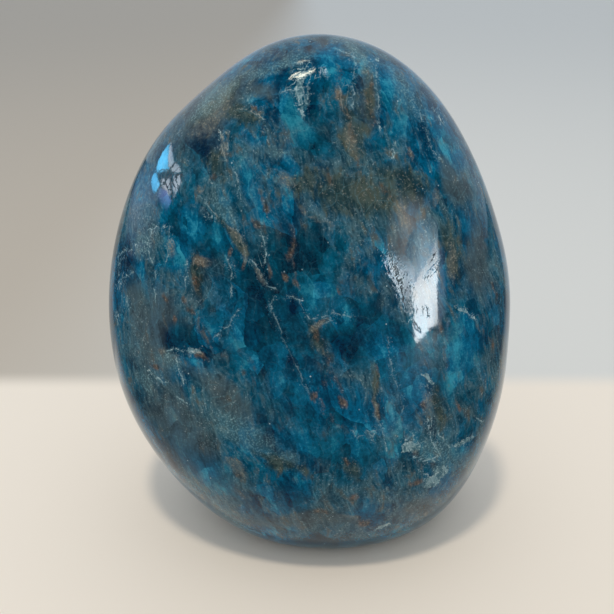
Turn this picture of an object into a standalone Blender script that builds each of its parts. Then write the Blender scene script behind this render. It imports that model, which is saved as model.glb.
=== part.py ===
"""Blue apatite freeform: one polished stone, an upright flattened egg that stands on a flat ground foot.

The frame has +Z up, the broad front towards -Y and +X to the right as seen from the front.
The origin is on the surface that the stone stands on, under the middle of the stone's width and depth.
"""

import bmesh
import bpy
from math import acos, atan2, cos, degrees, exp, hypot, radians, sin
from mathutils import Vector

MM = 0.001

# Height of the point inside the stone from which its surface is measured
MIDDLE_HEIGHT = 42.0 * MM

# The front outline: an oval that reaches further above the middle than below it, with its heel leaning
# to the right. The heel's reach is that of the whole oval, before the foot is cut.
TOP_REACH = 67.5 * MM
SIDE_REACH = 44.5 * MM
HEEL_REACH = 52.5 * MM
HEEL_LEAN = 0.08

# Where the outline departs from that oval: turn clockwise from straight up and spread, both in
# degrees, and height in mm
EDGE_SWELLS = {
    "hollow left of the top": (-19.0, 12.0, -1.7),
    "swell right of the top": (14.0, 14.0, 0.6),
    "right shoulder": (66.0, 18.0, 1.2),
    "hollow under the right shoulder": (118.0, 20.0, -1.0),
}

# Distance from the middle to the front and the back, and the share of it lost towards the top
FRONT_SWELL = 28.7 * MM
FRONT_TAPER = 0.17
BACK_SWELL = 26.7 * MM
BACK_TAPER = 0.10

# How full the section from edge to edge is: 2 is an ellipse, and more is squarer
FULLNESS = 2.2

# Broad flats ground on the stone: turn to the right from the front and rise, both in degrees, and
# distance from the middle in mm. The foot's flat is rolled into the sides before it is cut.
GROUND_FLATS = {
    "foot": (0.0, -90.0, 42.6),
    "front": (4.0, 14.0, 31.5),
    "right cheek": (40.0, 16.0, 40.0),
    "left cheek": (-34.0, 18.0, 40.5),
    "back": (178.0, 12.0, 30.0),
    "back right": (145.0, 8.0, 37.5),
    "back left": (212.0, 20.0, 41.0),
}

# How crisply the flats meet the rounded body
FLAT_CRISPNESS = 20.0

# Ball that the stone is shaped from
BALL_DIVISIONS = 5

# Faces that turn from each other by more than this meet in a crisp edge: only the rim of the foot
SHARP_TURN = radians(20.0)

# Polished apatite, as it looks at arm's length
STONE_COLOUR = (0.012, 0.090, 0.150, 1.0)
STONE_ROUGHNESS = 0.12
STONE_METALLIC = 0.0


def clear_scene():
    for thing in list(bpy.data.objects):
        bpy.data.objects.remove(thing, do_unlink=True)


def edge_reach(angle):
    """Distance from the middle to the front outline at an angle clockwise from straight up."""
    upright_reach = TOP_REACH if cos(angle) > 0.0 else HEEL_REACH
    reach = hypot(sin(angle) / SIDE_REACH, cos(angle) / upright_reach) ** -1.0
    reach *= 1.0 - HEEL_LEAN * sin(2.0 * angle) * (1.0 - cos(angle)) / 2.0
    for turn, spread, height in EDGE_SWELLS.values():
        away = degrees(acos(cos(angle - radians(turn))))
        reach += height * MM * exp(-((away / spread) ** 2))
    return reach


def flat_facing(turn, rise):
    """Unit direction in which a flat faces."""
    turn = radians(turn)
    rise = radians(rise)
    return Vector((sin(turn) * cos(rise), -cos(turn) * cos(rise), sin(rise)))


FLATS = [(flat_facing(turn, rise), distance * MM) for turn, rise, distance in GROUND_FLATS.values()]


def body_distance(way):
    """Distance from the middle to the rounded body along a unit direction."""
    if way.y < 0.0:
        swell = FRONT_SWELL * (1.0 - FRONT_TAPER * way.z)
    else:
        swell = BACK_SWELL * (1.0 - BACK_TAPER * way.z)
    across = hypot(way.x, way.z) / edge_reach(atan2(way.x, way.z))
    through = abs(way.y) / swell
    return (across**FULLNESS + through**FULLNESS) ** (-1.0 / FULLNESS)


def surface_distance(way):
    """Distance from the middle to the surface: the body, worn down to the flats."""
    nearness = body_distance(way) ** -FLAT_CRISPNESS
    for facing, distance in FLATS:
        nearness += (max(0.0, facing.dot(way)) / distance) ** FLAT_CRISPNESS
    return nearness ** (-1.0 / FLAT_CRISPNESS)


def shaped_ball():
    """The whole rounded stone before its foot is cut."""
    body = bmesh.new()
    bmesh.ops.create_icosphere(body, subdivisions=BALL_DIVISIONS, radius=1.0)
    middle = Vector((0.0, 0.0, MIDDLE_HEIGHT))
    for vertex in body.verts:
        way = vertex.co.normalized()
        vertex.co = middle + way * surface_distance(way)
    return body


def cut_foot(body):
    """Cuts the bottom off flat at height zero and closes it with one face."""
    cut = bmesh.ops.bisect_plane(
        body,
        geom=body.verts[:] + body.edges[:] + body.faces[:],
        dist=0.02 * MM,
        plane_co=(0.0, 0.0, 0.0),
        plane_no=(0.0, 0.0, -1.0),
        clear_outer=True,
    )
    rim = [part for part in cut["geom_cut"] if isinstance(part, bmesh.types.BMEdge)]
    for edge in rim:
        for vertex in edge.verts:
            vertex.co.z = 0.0
    bmesh.ops.contextual_create(body, geom=rim)
    bmesh.ops.recalc_face_normals(body, faces=body.faces[:])


def centre_over_origin(body):
    """Moves the stone sideways until the origin is under the middle of its width and depth."""
    for axis in (0, 1):
        places = [vertex.co[axis] for vertex in body.verts]
        middle = (min(places) + max(places)) / 2.0
        for vertex in body.verts:
            vertex.co[axis] -= middle


def stone_material():
    material = bpy.data.materials.new("polished_apatite")
    material.use_nodes = True
    shader = material.node_tree.nodes["Principled BSDF"]
    shader.inputs["Base Color"].default_value = STONE_COLOUR
    shader.inputs["Roughness"].default_value = STONE_ROUGHNESS
    shader.inputs["Metallic"].default_value = STONE_METALLIC
    return material


def make_stone():
    body = shaped_ball()
    cut_foot(body)
    centre_over_origin(body)
    mesh = bpy.data.meshes.new("apatite_freeform")
    body.to_mesh(mesh)
    body.free()
    mesh.materials.append(stone_material())
    mesh.shade_smooth()
    mesh.set_sharp_from_angle(angle=SHARP_TURN)
    stone = bpy.data.objects.new("apatite_freeform", mesh)
    bpy.context.scene.collection.objects.link(stone)
    return stone


clear_scene()
make_stone()
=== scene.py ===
"""Looks of a blue apatite freeform: one polished stone that stands on a plain pale floor.

The stone's shape repeats the solid's own formula on a finer net, with its hairlines, its pits and
the dips of its polish worn into it. Its marks are placed as the photograph shows them, and carry
on round the back in the same manner.
"""

from math import cos, pi, radians, sin

import bmesh
import bpy
import numpy as np
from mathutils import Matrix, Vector, noise


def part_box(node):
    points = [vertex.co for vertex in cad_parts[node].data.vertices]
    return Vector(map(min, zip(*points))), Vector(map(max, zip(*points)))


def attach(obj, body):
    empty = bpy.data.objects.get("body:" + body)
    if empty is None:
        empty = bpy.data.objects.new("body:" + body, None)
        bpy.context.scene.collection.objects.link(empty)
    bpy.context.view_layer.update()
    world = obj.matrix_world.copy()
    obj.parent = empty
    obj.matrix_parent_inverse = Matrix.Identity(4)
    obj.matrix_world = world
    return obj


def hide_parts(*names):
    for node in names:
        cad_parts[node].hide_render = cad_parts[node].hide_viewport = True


bl_info = {
    "name": "Blue apatite freeform",
    "version": (1, 0, 0),
    "blender": (4, 5, 0),
    "location": "View3D > Sidebar > Apatite",
    "description": "Makes a polished blue apatite freeform and the stage that it stands on",
    "category": "Object",
}

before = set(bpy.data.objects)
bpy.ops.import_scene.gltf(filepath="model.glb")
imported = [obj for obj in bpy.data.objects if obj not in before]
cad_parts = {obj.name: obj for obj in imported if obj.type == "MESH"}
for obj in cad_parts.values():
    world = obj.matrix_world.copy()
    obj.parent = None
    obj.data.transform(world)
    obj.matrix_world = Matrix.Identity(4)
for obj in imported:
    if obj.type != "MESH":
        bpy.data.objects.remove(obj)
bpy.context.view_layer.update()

MM = 0.001
NODE = "apatite_freeform"
BODY = "root"
SLOT = "polished_apatite"

# Shape of the solid, all in mm: the height of the point that it is measured from, the oval that its
# front outline is near, with a heel that leans to the right, and where the outline departs from it
# (turn clockwise from straight up and spread, both in degrees, and height)
MIDDLE_HEIGHT = 42.0
TOP_REACH = 67.5
SIDE_REACH = 44.5
HEEL_REACH = 52.5
HEEL_LEAN = 0.08
EDGE_SWELLS = {
    "hollow left of the top": (-19.0, 12.0, -1.7),
    "swell right of the top": (14.0, 14.0, 0.6),
    "right shoulder": (66.0, 18.0, 1.2),
    "hollow under the right shoulder": (118.0, 20.0, -1.0),
}

# Its front and back swells, and the flats ground on it (turn and rise in degrees, and distance)
FRONT_SWELL = 28.7
FRONT_TAPER = 0.17
BACK_SWELL = 26.7
BACK_TAPER = 0.10
FULLNESS = 2.2
FLAT_CRISPNESS = 20.0
GROUND_FLATS = {
    "foot": (0.0, -90.0, 42.6),
    "front": (4.0, 14.0, 31.5),
    "right cheek": (40.0, 16.0, 40.0),
    "left cheek": (-34.0, 18.0, 40.5),
    "back": (178.0, 12.0, 30.0),
    "back right": (145.0, 8.0, 37.5),
    "back left": (212.0, 20.0, 41.0),
}

# The photograph's camera: its place over the floor in mm, how far it looks down, its focal length and
# frame side in pixels, the nearest that it shows in metres, and the ways ahead and up in its picture
CAMERA_PLACE = (-0.7, -145.6, 120.5)
CAMERA_PITCH = radians(25.0)
FOCAL_PIXELS = 720.0
FRAME_PIXELS = 614.0
CLIP_START = 0.01
AHEAD = np.array((0.0, cos(CAMERA_PITCH), -sin(CAMERA_PITCH)))
UP = np.array((0.0, sin(CAMERA_PITCH), cos(CAMERA_PITCH)))

# How squarely a point faces the camera, between which its marks come in
RIM_FADE = (0.02, 0.16)

# Marks on the front: middle in pixels, half length and half width in pixels, and the slope of the long
# side in degrees down to the right
MARKS = {
    "clear": {
        "heart": (272, 318, 80, 52, 62), "upper heart": (300, 262, 40, 30, 20),
        "left cell": (206, 236, 34, 22, 30), "right of centre": (356, 330, 44, 34, 60),
        "low heart": (310, 400, 44, 34, 30), "right cell": (392, 352, 40, 24, 70),
        "crown": (322, 66, 26, 16, 20), "crown streak": (387, 88, 24, 8, 80),
        "second crown streak": (411, 100, 24, 7, 78), "left teal": (182, 340, 18, 14, 0),
        "belly": (330, 446, 60, 16, 10), "left": (192, 222, 20, 12, 60),
        "band gap": (312, 140, 24, 14, 20),
    },
    "azure": {
        "left cell": (205, 232, 28, 17, 15), "left shoulder": (247, 184, 24, 10, 75),
        "under flake": (292, 114, 20, 12, 80), "crown": (325, 66, 24, 14, 10),
        "crown streak": (388, 87, 26, 10, 78), "second crown streak": (411, 100, 26, 8, 76),
        "shoulder streak": (444, 136, 20, 8, 62), "band gap": (323, 153, 14, 7, 170),
        "heart": (326, 286, 30, 20, 60), "right of centre": (398, 360, 34, 20, 70),
        "low heart": (300, 395, 24, 14, 50), "right cell": (462, 352, 26, 16, 80),
        "lower right cell": (462, 453, 10, 7, 170), "belly": (345, 448, 46, 18, 12),
        "low left": (215, 478, 34, 10, 40), "right low": (452, 390, 20, 9, 75),
        "band left": (310, 128, 14, 12, 60), "left teal": (181, 262, 12, 12, 80),
    },
    "navy": {
        "left shoulder": (200, 150, 22, 18, 130), "left heart": (222, 318, 26, 20, 60),
        "heart": (262, 338, 28, 22, 60), "centre": (318, 264, 34, 20, 30),
        "left of centre": (281, 306, 13, 15, 40), "right of centre": (350, 342, 22, 22, 60),
        "crown slit": (311, 47, 8, 2, 0), "low band": (283, 447, 34, 9, 55),
        # Painted shade: the long thin band along the bottom edge, where the stone meets the floor, is
        # darkened to deep blue.
        "right": (432, 388, 24, 12, 70), "painted shade at the foot": (335, 544, 90, 7, 0),
        "cleavage": (432, 463, 10, 3, 165), "second cleavage": (413, 455, 9, 3, 165),
        "shoulder": (284, 228, 18, 8, 80), "crown edge": (400, 84, 16, 4, 75),
    },
    "slate": {
        "left side": (136, 306, 36, 13, 85), "left middle": (158, 330, 60, 28, 84),
        "lower left": (182, 432, 62, 30, 60), "upper right": (452, 178, 30, 12, 70),
        "foot": (300, 520, 70, 8, 0), "upper left": (208, 112, 60, 30, 130),
        "left of crown": (262, 92, 20, 8, 30), "right edge": (478, 262, 40, 10, 82),
        "left low": (226, 395, 44, 14, 40), "crown right": (366, 96, 40, 10, 84),
        "right foot": (420, 505, 26, 7, 150),
    },
    "olive": {
        "band": (345, 192, 58, 24, 6), "band right": (404, 184, 32, 20, 30),
        "band left": (300, 182, 16, 16, 40), "crown left": (243, 118, 26, 14, 20),
        "crown right": (352, 130, 34, 14, 75), "crown column": (367, 96, 34, 5, 85),
        "below highlight top": (452, 252, 34, 12, 75), "low band": (281, 464, 36, 6, 22),
        "low column": (377, 392, 30, 5, 82), "middle": (318, 338, 24, 8, 68),
        "speckled seam": (232, 236, 30, 6, 52), "left column": (200, 275, 22, 6, 82),
        "upper left": (216, 165, 20, 10, 70), "upper left band": (232, 92, 26, 6, 118),
        "left band": (207, 108, 24, 8, 140), "low right column": (434, 404, 26, 6, 72),
        "low middle": (352, 468, 16, 10, 40),
    },
    "rust": {
        "left spot": (215, 178, 10, 6.5, 155), "left pit": (163.5, 174, 3, 2, 0),
        "crown left": (260, 113, 7, 5, 20), "second crown left": (264, 131, 8, 4, 80),
        "left core": (246, 136, 9, 3, 68), "crown thread": (342, 98, 17, 4, 86),
        "second crown thread": (352, 130, 20, 4, 70), "third crown thread": (368, 80, 16, 4, 82),
        "fourth crown thread": (360, 164, 16, 4, 75), "orange fleck": (410, 148, 10, 4, 80),
        "shoulder": (255, 221, 9, 6, 65), "second shoulder": (267, 204, 7, 4, 80),
        "column": (293, 248, 12, 4, 85), "column foot": (297, 284, 10, 4, 70),
        "third column": (285, 275, 7, 4, 90), "seam": (226, 254, 7, 4, 100),
        "second seam": (242, 267, 8, 3, 95), "third seam": (270, 267, 9, 4, 90),
        "beige patch": (203, 262, 9, 6, 0), "under beige": (199, 281, 10, 5, 85),
        "left fleck": (165, 297, 7, 3, 65), "second left fleck": (187, 300, 5, 4, 70),
        "third left fleck": (192, 311, 7, 4, 50), "fourth left fleck": (177, 321, 5, 3, 70),
        "left bar": (201, 358, 9, 4, 40), "low left bar": (152, 368, 8, 4, 30),
        "second low left bar": (159, 352, 8, 5, 60), "right fleck": (494, 291, 10, 3, 85),
        "second right fleck": (490, 345, 7, 3, 85), "middle": (317, 333, 13, 6, 75),
        "second middle": (323, 322, 9, 4, 150), "third middle": (337, 291, 5, 3, 90),
        "low thread": (339, 403, 8, 5, 60), "second low thread": (378, 408, 14, 4, 78),
        "low fleck": (347, 460, 6, 3.5, 60), "third low fleck": (421, 408, 6, 5, 70),
        "fourth low fleck": (463, 407, 6, 4, 70), "fifth low fleck": (412, 482, 9, 3, 155),
        "sixth low fleck": (356, 494, 8, 5, 150), "foot": (322, 514, 12, 5, 0),
        "second foot": (364, 522, 12, 5, 0), "left foot": (240, 478, 8, 4, 30),
        "seventh low fleck": (312, 395, 6, 4, 60), "second band": (384, 190, 12, 4, 60),
        "band": (326, 178, 12, 5, 80), "right": (446, 330, 16, 4, 80),
    },
    "cream": {
        "flake": (300, 90, 11, 4.5, 82), "flake tip": (303, 106, 10, 2.4, 84),
        # The flake head plate is a pale flake with a painted highlight on it, and the right glint plate is a
        # painted highlight.
        "flake head": (303, 74, 11, 2.4, 152), "cleavage": (410, 447, 13, 6.5, 175),
        "cleavage dash": (432, 458, 8, 1.4, 165), "cleavage block": (440, 469, 8, 5.5, 155),
        "second cleavage block": (429, 478, 9, 6, 150), "column patch": (426, 380, 8, 2.6, 65),
        "right bar": (463, 443, 10, 1.8, 155), "right glint": (466, 313, 9, 1.6, 32),
        "foot dashes": (386, 529, 7, 1.2, 165), "left bar": (195, 353, 7, 2.5, 22),
        "crown streak": (375, 62, 9, 1.6, 88), "third streak": (393, 148, 9, 1.6, 97),
    },
    "beige": {
        "band edge": (302, 213, 10, 4, 55), "second band edge": (314, 221, 11, 4, 22),
        "third band edge": (332, 225, 9, 4, 5), "pale patch": (285, 176, 13, 8, 60),
        "left core": (222, 144, 17, 4, 76), "second left core": (228, 142, 12, 3, 88),
        "upper left": (214, 112, 36, 15, 132), "grey patch": (203, 262, 9, 7, 0),
        "seam": (232, 232, 18, 4.5, 50), "lower seam": (243, 256, 15, 3.5, 88),
        "left of seam": (199, 188, 10, 4, 50), "middle": (318, 326, 12, 6, 150),
        "left bar": (160, 350, 6, 6, 0), "beside the right highlight": (402, 212, 24, 10, 80),
        "right of the highlight": (452, 262, 26, 7, 78), "pale right": (436, 196, 16, 6, 85),
        "orange fleck": (410, 150, 12, 3.5, 85), "tan thread": (341, 95, 11, 2.5, 88),
        "low column": (378, 405, 16, 4, 85), "foot": (352, 516, 14, 3, 0),
        "low right": (424, 402, 20, 5, 66), "left foot": (236, 470, 20, 6, 30),
        "centre streak": (262, 275, 13, 3.5, 58), "crown": (352, 140, 18, 6, 75),
        "left": (168, 250, 14, 5, 80),
    },
    "pinholes": {
        "beside the right highlight": (398, 280, 34, 9, 66),
        "in the right highlight": (429, 266, 16, 3, 118),
        "foot of the right highlight": (418, 326, 7, 3, 75),
        "middle of the right highlight": (428, 312, 7, 2.5, 65),
    },
    "frost": {
        "low left": (143, 382, 14, 7, 60), "patch": (243, 434, 48, 18, 29),
        "patch tail": (288, 458, 12, 9, 40), "crown left": (214, 98, 42, 10, 142),
        "left arcs": (142, 244, 16, 8, 100), "low right": (440, 454, 38, 20, 20),
        "crown right": (404, 90, 34, 12, 60), "crown": (278, 62, 46, 9, 160),
        "right of crown": (360, 62, 30, 9, 55), "left bar": (170, 362, 22, 12, 20),
        "shoulder": (226, 212, 18, 10, 50), "second band": (278, 148, 16, 6, 20),
    },
}  # fmt: skip

# Pale strokes on the front, as how plain each is and its points in pixels
PALE_LINES = {
    "seam": (0.6, (199, 196), (209, 208), (221, 221), (237, 231), (243, 246), (244, 262)),
    "white mark": (1.0, (205, 218), (214, 220)),
    "shoulder": (0.7, (233, 168), (237, 182), (242, 204)),
    "second shoulder": (0.9, (261, 232), (265, 241), (266, 252), (265, 262)),
    "centre": (0.75, (253, 262), (258, 268), (263, 276), (267, 284), (275, 288)),
    "low centre": (0.45, (274, 298), (270, 306), (272, 315), (277, 324), (282, 333)),
    "foot centre": (0.3, (283, 338), (290, 352), (297, 368), (308, 392)),
    "beaded": (0.6, (288, 296), (294, 300), (302, 310), (309, 319)),
    "level": (0.5, (309, 319), (320, 318), (331, 315), (352, 316)),
    "level branch": (0.5, (318, 328), (324, 323), (332, 321)),
    "left column": (0.6, (225, 259), (229, 266), (232, 272), (231, 284), (232, 297)),
    "left foot": (0.5, (240, 311), (232, 318), (229, 327), (222, 331), (214, 341)),
    "crown left": (1.0, (236, 111), (245, 110), (254, 113), (264, 119)),
    # The flake head is a pale flake with a painted highlight along it; the crown glint and the second crown
    # glint are painted highlights.
    "flake head": (1.0, (291, 79), (299, 74), (312, 68)),
    "flake edge": (0.9, (295, 82), (299, 100), (303, 117)),
    "flake side": (0.7, (309, 80), (307, 98), (304, 114)),
    "flake arc": (0.6, (279, 97), (284, 93), (291, 91), (298, 96)),
    "crown arc": (0.5, (336, 50), (343, 52), (350, 56)),
    "crown glint": (1.0, (321, 68), (325, 76)),
    "second crown glint": (1.0, (298, 63), (307, 60)),
    "crown seam": (0.5, (352, 55), (354, 68), (352, 82), (353, 108)),
    "second crown seam": (0.5, (374, 56), (375, 68), (376, 84), (378, 112)),
    "crown dash": (1.0, (378, 120), (379, 129)),
    "third crown seam": (0.7, (396, 134), (394, 146), (393, 158)),
    "tan thread": (0.5, (341, 88), (342, 108)),
    "shoulder seam": (1.0, (433, 107), (442, 123)),
    "second shoulder seam": (0.5, (416, 98), (420, 120), (432, 148), (440, 160)),
    "rim arc": (0.9, (119, 256), (124, 251), (132, 248)),
    "second rim arc": (0.9, (119, 281), (124, 275), (131, 273)),
    "rim": (0.8, (118, 256), (118, 290)),
    "left arc": (0.9, (136, 244), (143, 240), (150, 242)),
    "second left arc": (0.9, (150, 229), (156, 227), (164, 228)),
    "left thread": (0.7, (150, 232), (149, 252), (153, 262)),
    "second left thread": (0.6, (155, 270), (156, 280), (153, 287), (155, 301)),
    "third left thread": (0.6, (170, 225), (168, 240), (166, 262)),
    "fourth left thread": (0.5, (168, 234), (174, 247)),
    "fifth left thread": (0.7, (187, 262), (187, 286)),
    "left tick": (1.0, (168, 351), (174, 348), (184, 351)),
    "second left tick": (0.8, (176, 358), (180, 373), (184, 385)),
    "third left tick": (1.0, (147, 372), (154, 376), (160, 382), (168, 384)),
    "fourth left tick": (0.7, (178, 397), (190, 404)),
    "rim tick": (0.8, (125, 298), (127, 309)),
    "second rim tick": (0.8, (116, 312), (117, 325)),
    "left bar": (1.0, (190, 351), (200, 355)),
    # The right glint is a painted highlight.
    "right glint": (1.0, (457, 307), (466, 311), (476, 321)),
    "cleavage top": (1.0, (400, 441), (411, 440), (423, 441)),
    "cleavage loop": (0.9, (408, 439), (412, 433), (415, 440)),
    "cleavage dash": (1.0, (424, 461), (434, 457), (442, 454)),
    "second cleavage dash": (0.9, (414, 458), (423, 455)),
    "vein": (0.8, (427, 419), (431, 436), (439, 453)),
    "second vein": (0.8, (434, 418), (441, 434), (450, 446)),
    "low column": (0.6, (377, 400), (375, 415), (379, 424), (384, 436), (386, 450)),
    "scribble": (0.6, (368, 432), (372, 440), (377, 432)),
    "second scribble": (0.5, (353, 432), (357, 440), (369, 433), (381, 430)),
    "right bar": (0.9, (455, 447), (465, 443), (474, 438)),
    "patch foot": (0.9, (426, 386), (431, 398)),
    "block edge": (0.7, (418, 470), (430, 477), (447, 466)),
    "right tick": (0.8, (477, 418), (482, 424)),
    "left core": (0.9, (218, 128), (221, 144), (225, 160)),
    "second left core": (0.7, (226, 132), (229, 150)),
    # The left rim stroke is a painted reflection: the pale floor mirrored along the lower left edge.
    "left rim": (0.35, (146, 432), (178, 478), (214, 511), (258, 534)),
    "foot": (0.8, (376, 531), (392, 526)),
    "lower right": (0.4, (386, 340), (392, 372), (404, 412)),
}

# Brown threads on the front, in the same manner
BROWN_LINES = {
    "left vein": (0.8, (211, 100), (217, 128), (226, 150), (230, 168)),
    "middle": (0.7, (316, 318), (322, 344), (330, 372), (340, 392)),
    "second middle": (0.6, (330, 372), (318, 392), (322, 412), (340, 428)),
    "crown": (0.8, (336, 62), (342, 100), (352, 140), (364, 172)),
    "second crown": (0.8, (362, 72), (366, 96), (374, 128)),
    "left": (0.7, (186, 286), (192, 312), (205, 342), (222, 362)),
    "low left": (0.7, (150, 360), (162, 366), (186, 352), (204, 362)),
    "shoulder": (0.7, (256, 190), (266, 210), (262, 232)),
    "lower right": (0.7, (392, 400), (402, 430), (418, 462), (424, 486)),
    "right": (0.7, (448, 320), (444, 352), (450, 392)),
    "heart": (0.7, (290, 228), (294, 252), (297, 290)),
    "low column": (0.8, (376, 366), (379, 396), (376, 420)),
}

# Fine dark cracks on the front, in the same manner
CRACKS = {
    "over the pit": (0.7, (157, 171.5), (163, 170.5), (171, 171)),
    "under the pit": (1.0, (158, 177), (164, 178), (172, 175), (181, 174.5)),
    "down": (1.0, (171.5, 176), (172, 187), (172.5, 199)),
    "crossing": (0.9, (160, 189), (165, 183), (170, 177)),
    "second crossing": (0.9, (162, 178), (166, 183), (169, 190)),
    "above": (0.9, (172, 169), (178, 163)),
    "aside": (0.8, (176, 176), (178, 184), (179, 190)),
    "leaf": (0.9, (392, 262), (395, 275), (401, 291), (406, 304)),
    "second leaf": (0.7, (396, 266), (400, 280), (404, 290)),
    "foot of the highlight": (0.8, (416, 322), (421, 331)),
    "second foot of the highlight": (0.8, (426, 307), (430, 317)),
    "third foot of the highlight": (0.7, (418, 308), (419, 313)),
    "top of the highlight": (0.8, (428, 262), (434, 252)),
}

# Pits on the front: middle in pixels, radius and depth in mm
PITS = {
    "left pit": (163.5, 174, 0.5, 0.03),
    "crown chip": (322, 42, 1.7, 0.30),
    "crown slit": (309, 47, 1.2, 0.24),
    "cleavage": (416, 453, 1.1, 0.20),
    "second cleavage": (433, 464, 1.0, 0.16),
    "fleck": (244, 374, 0.6, 0.14),
}

# How many stray pits each side has, the least of their radius and depth in mm, and how much more the
# largest have. Pits are painted darker the deeper they are, as painted shade: those of the full depth
# get the whole of the pit shade colour.
STRAY_PITS = 90
PIT_RADIUS = (0.4, 0.4)
PIT_DEPTH = (0.02, 0.08)
FULL_DEPTH = 0.16

# Oval on the front that has no stray pits, in the manner of the marks
PIT_FREE = (424, 290, 70, 24, 88)

# Marks of each kind on the back: how many, and their least and greatest half length and half width in
# pixels
STRAY_MARKS = {
    "clear": (7, 40, 90, 24, 50), "azure": (15, 18, 44, 8, 22), "navy": (14, 14, 34, 6, 22),
    "slate": (5, 40, 80, 18, 34), "olive": (9, 20, 60, 6, 22), "rust": (24, 5, 38, 2.5, 4.5),
    "beige": (18, 8, 30, 3, 8), "cream": (12, 6, 20, 2, 5), "frost": (7, 18, 46, 7, 15),
    "pinholes": (6, 10, 40, 4, 10),
}  # fmt: skip
STRAY_SEED = 41

# Middle of the stone's picture and how far aside and down strays lie from it, all in pixels, the slope
# of their long side in degrees, how much it varies for marks and for lines, and a line's step in pixels
STRAY_MIDDLE = (309.0, 292.0)
STRAY_REACH = (195.0, 245.0)
STRAY_SLOPE = 72.0
MARK_SLOPE_SPREAD = 22.0
LINE_SLOPE_SPREAD = 24.0
LINE_STEP = 20.0

# Stray lines: how many more than on the front, and the least steps and plainness and how much more of
# them a line can have
EXTRA_LINES = 6
LINE_STEPS = (3, 4)
LINE_PLAINNESS = (0.4, 0.5)

# How sharply the edge of an oval, a plate and the pit-free oval falls
OVAL_POWER = 2
PLATE_POWER = 6
PIT_FREE_POWER = 8

# Noises worked out for each point, as size in mm, seed and octaves: the wander of every edge and the
# dips of the polish. How far apart in space the seeds lie.
BROAD_WANDER = (8.0, 1, 2)
FINE_WANDER = (1.8, 2, 2)
BROAD_DIP = (9.0, 3, 2)
FINE_DIP = (3.2, 4, 1)
SEED_STEP = (17.3, -9.1, 5.7)

# How far in mm the broad and the fine wander push the marks and the lines, and how deep the fine dips
# are for the broad ones
MARK_WANDER = (1.4, 0.3)
LINE_WANDER = (0.5, 0.15)
FINE_DIP_SHARE = 0.3

# Distances in mm: out to which a line's strength is kept, between which it fades past its ends, and
# between which its groove rises to the surface. Points with no line near are far from it.
LINE_REACH = 1.2
LINE_END = (0.1, 0.6)
GROOVE_SIDE = (0.15, 0.7)
FAR = 50.0

# Turn of the pinholes' long side from upright
PINHOLE_SLANT = radians(-28.0)

# How far apatite bends light, and the turn between faces that makes a crisp edge
APATITE_IOR = 1.63
SHARP_TURN = radians(35.0)

# Distance within which a point counts as on the foot's cut, and the steps of a half turn in which the
# middle of the stone's box is looked for
CUT_SNAP = 0.02 * MM
BOX_STEPS = 360

# Further colours of the finish: the dark side of each blend, and the veils, crumbs and strokes
DARK_GREEN = (0.001, 0.020, 0.028)
DARK_SLATE = (0.030, 0.045, 0.052)
DARK_OLIVE = (0.014, 0.030, 0.027)
DARK_RUST = (0.036, 0.036, 0.031)
DARK_FLAKE = (0.060, 0.145, 0.175)
DARK_VEIL = (0.026, 0.072, 0.090)
PALE_VEIL = (0.110, 0.195, 0.212)
BROWN_VEIL = (0.100, 0.100, 0.080)
TAN = (0.165, 0.128, 0.088)
BEIGE = (0.205, 0.196, 0.156)
FROST = (0.150, 0.280, 0.295)
HAIR_GLOW = (0.080, 0.185, 0.215)
PALE_HAIR = (0.205, 0.350, 0.380)
STAINED_HAIR = (0.290, 0.255, 0.195)
GLINT = (0.50, 0.66, 0.68)
PIT_SHADE = (0.030, 0.024, 0.022)
CRACK = (0.008, 0.012, 0.014)
PINHOLE = (0.010, 0.020, 0.026)
BLACK = (0.0, 0.0, 0.0)

# Place of the overhead light in metres, its colour, and the colour of the soft light
LAMP_PLACE = (-0.09, -0.22, 1.0)
LAMP_COLOUR = (1.0, 0.92, 0.81)
AMBIENT_COLOUR = (0.88, 0.97, 1.08, 1.0)

# The soft light that the polish mirrors falls dark towards the camera's side: the share of a direction
# that way between which it does, how dark it falls, and how much of it is lost all round
DARK_TURN = (-0.55, 0.25)
DARK_SHARE = 0.985
GLOSS_LOSS = 0.30

# Width of the floor, in metres, so that its far edge lies above the picture, how far it lies under the
# foot, and its roughness
FLOOR_WIDTH = 60.0
FLOOR_DROP = 0.0002
FLOOR_ROUGHNESS = 0.6

# Half width in metres of the band where the floor turns into the backdrop, and the distances aside
# between which the backdrop turns into its right side
BACKDROP_BLEND = 0.006
BACKDROP_TURN = (-0.14, 0.06)

# Distances in front of the stone's middle, in metres, between which the floor that the polish mirrors
# has its colour painted dark as painted shade, the distance aside from which it does so sooner and how
# much so, and how dark it is painted
FLOOR_DIMS = 0.012
FLOOR_DARK = 0.058
SIDE_START = 0.030
SIDE_SHARE = 0.8
UNLIT_SHARE = 0.97

# Distance in mm from the stone of the first of the bright panes below, and of each further one behind it
NEAREST_PANE = 600.0
PANE_GAP = 10.0

# Distances in mm from the camera between which a ray meets the stone, the steps that look for it, and
# the small moves that tell which way the surface faces there
RAY_REACH = (80.0, 240.0)
RAY_STEPS = 3201
NUDGE = 0.02

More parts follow.
